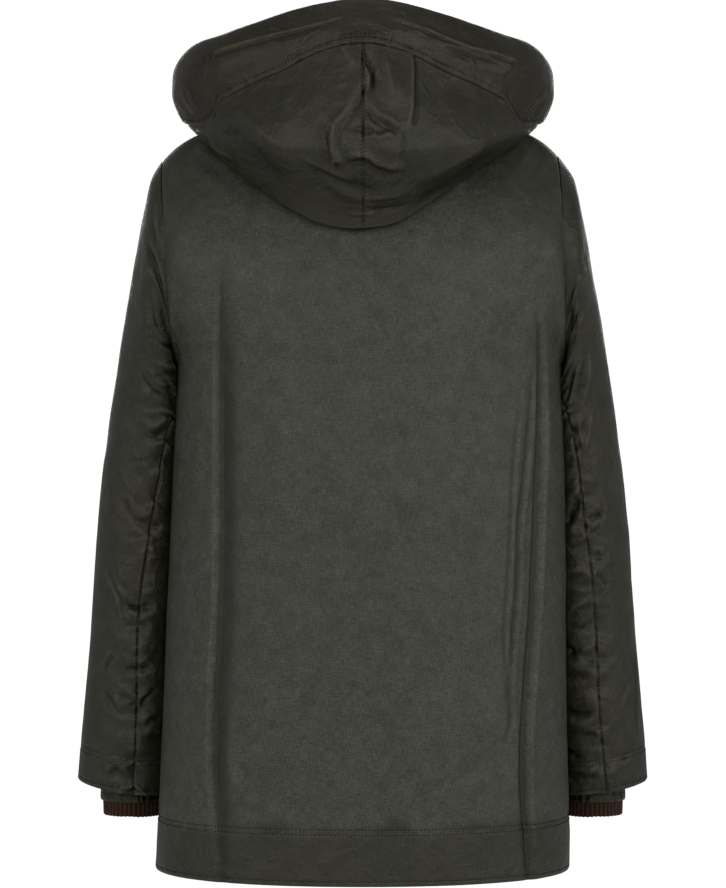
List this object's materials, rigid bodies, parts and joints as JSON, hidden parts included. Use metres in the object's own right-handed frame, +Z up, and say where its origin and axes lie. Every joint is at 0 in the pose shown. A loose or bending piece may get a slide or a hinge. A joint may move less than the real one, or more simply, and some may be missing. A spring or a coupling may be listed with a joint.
{
  "type": "hooded waxed cotton jacket",
  "caption": "Hip-length waxed cotton jacket in its worn, hollow shape, with a hood folded down its back, a closed front zip and ribbed knit cuffs inside straight sleeves.",
  "frame": {"origin": "half way between the two side neck points, where the wearer's shoulders carry the jacket", "axes": "+Z up, the front faces -Y, the wearer's left is +X"},
  "size_m": [0.5844, 0.3307, 0.8657],
  "materials": {
    "waxed_cotton": "dark olive waxed cotton with a soft sheen on its creases and olive wear along its seams",
    "rib_knit": "dark brown rib knit, matt",
    "zip_metal": "dark antique brass, satin"
  },
  "bodies": {
    "jacket": {"back": "waxed_cotton", "front_left": "waxed_cotton", "front_right": "waxed_cotton", "sleeve_left_top": "waxed_cotton", "sleeve_left_under": "waxed_cotton", "sleeve_right_top": "waxed_cotton", "sleeve_right_under": "waxed_cotton", "cuff_left": "rib_knit", "cuff_right": "rib_knit", "hood_left": "waxed_cotton", "hood_right": "waxed_cotton", "hood_brim": "waxed_cotton", "zip_chain": "zip_metal", "zip_box": "zip_metal", "zip_slider": "zip_metal"},
    "pull_tab": {"zip_pull": "zip_metal"}
  },
  "joints": [
    {"name": "pull_tab_hinge", "type": "hinge", "parent": "jacket", "child": "pull_tab", "pos_m": [0, -0.10155, -0.09769], "axis": [-1, 0, 0], "range_deg": [0, 150]}
  ]
}
